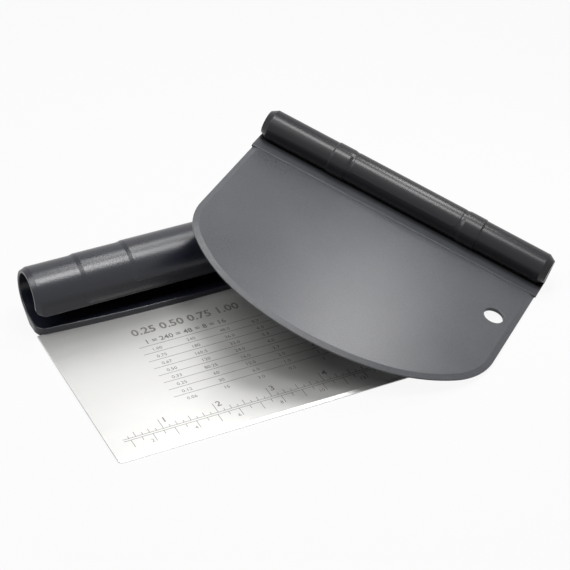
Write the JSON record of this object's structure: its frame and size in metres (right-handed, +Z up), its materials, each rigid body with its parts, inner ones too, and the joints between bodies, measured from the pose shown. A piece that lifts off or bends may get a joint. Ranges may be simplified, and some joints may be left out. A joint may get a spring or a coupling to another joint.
{
  "type": "nesting bench scraper and bowl scraper",
  "caption": "Steel bench scraper with a ruler and a curled hollow handle, and a half-round plastic bowl scraper leaning on it whose rod handle stores in the hollow.",
  "frame": {"origin": "underside of the bench scraper, in the middle of its width under the front edge line of its handle, on the table", "axes": "+X along the bench scraper's handle, +Y from its cutting edge to its handle's back, +Z up from the table"},
  "size_m": [0.2329, 0.1637, 0.0598],
  "materials": {
    "steel": "satin",
    "bench_plastic": "satin",
    "blade_plastic": "fine texture",
    "rod_plastic": "satin"
  },
  "bodies": {
    "bench_scraper": {"bench_blade": "steel", "bench_handle": "bench_plastic"},
    "bowl_scraper": {"bowl_blade": "blade_plastic", "bowl_handle": "rod_plastic"}
  },
  "joints": [
    {"name": "bowl_scraper_lift", "type": "slide", "parent": "bench_scraper", "child": "bowl_scraper", "axis": [0, 0, 1], "range_m": [0, 0.12]}
  ]
}
